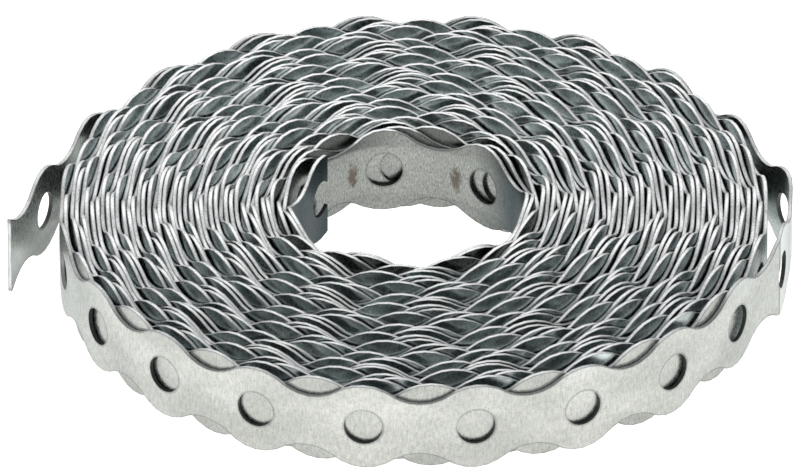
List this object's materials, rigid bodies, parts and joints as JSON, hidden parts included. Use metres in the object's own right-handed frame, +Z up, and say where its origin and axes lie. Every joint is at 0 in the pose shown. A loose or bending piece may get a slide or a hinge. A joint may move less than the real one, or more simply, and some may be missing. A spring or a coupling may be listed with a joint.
{
  "type": "perforated mounting strap roll",
  "caption": "Flat roll of perforated steel mounting strap with wavy edges and a row of round holes, its outer end standing off as a short tail.",
  "frame": {"origin": "on the bore's axis, at the floor the roll lies on", "axes": "+Z up along the bore's axis; -Y towards the front of the roll as pictured, +X to its right"},
  "size_m": [0.1435, 0.1302, 0.017],
  "materials": {
    "zinc_steel": "zinc-coated sheet, soft sheen with fine streaks, bright cut edges"
  },
  "bodies": {
    "root": {"strap": "zinc_steel"}
  },
  "joints": []
}
